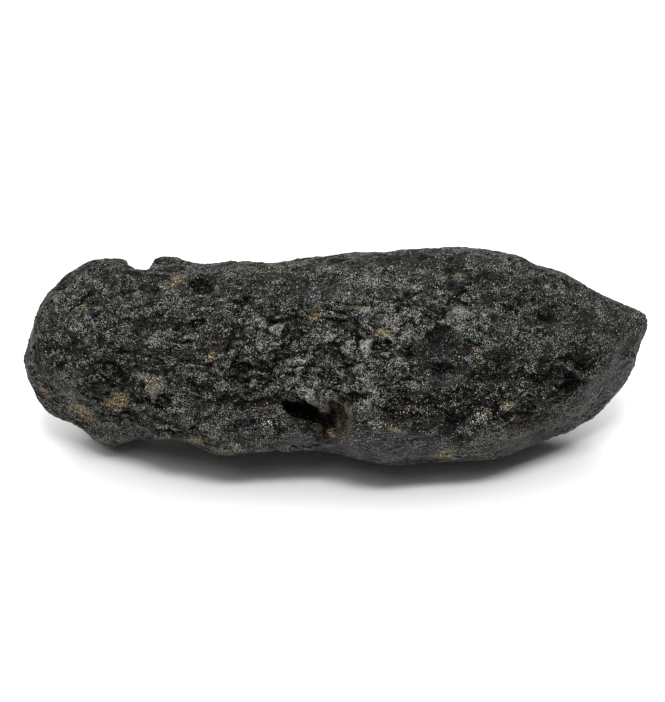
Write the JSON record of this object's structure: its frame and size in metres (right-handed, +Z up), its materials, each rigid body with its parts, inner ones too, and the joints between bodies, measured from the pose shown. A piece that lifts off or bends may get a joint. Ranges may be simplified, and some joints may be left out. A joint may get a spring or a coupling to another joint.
{
  "type": "tektite",
  "caption": "Long splash-form stone of natural black glass, round at one end and tapered at the other, with a pitted, grooved skin.",
  "frame": {"origin": "centre of the bounding box's bottom, on the surface that the stone lies on", "axes": "+X along the stone towards its tapered end, +Y away from the broad face, +Z up"},
  "size_m": [0.1006, 0.0356, 0.0344],
  "materials": {
    "black_glass": "frosted, etched natural glass with clay in its pits"
  },
  "bodies": {
    "root": {"tektite": "black_glass"}
  },
  "joints": []
}
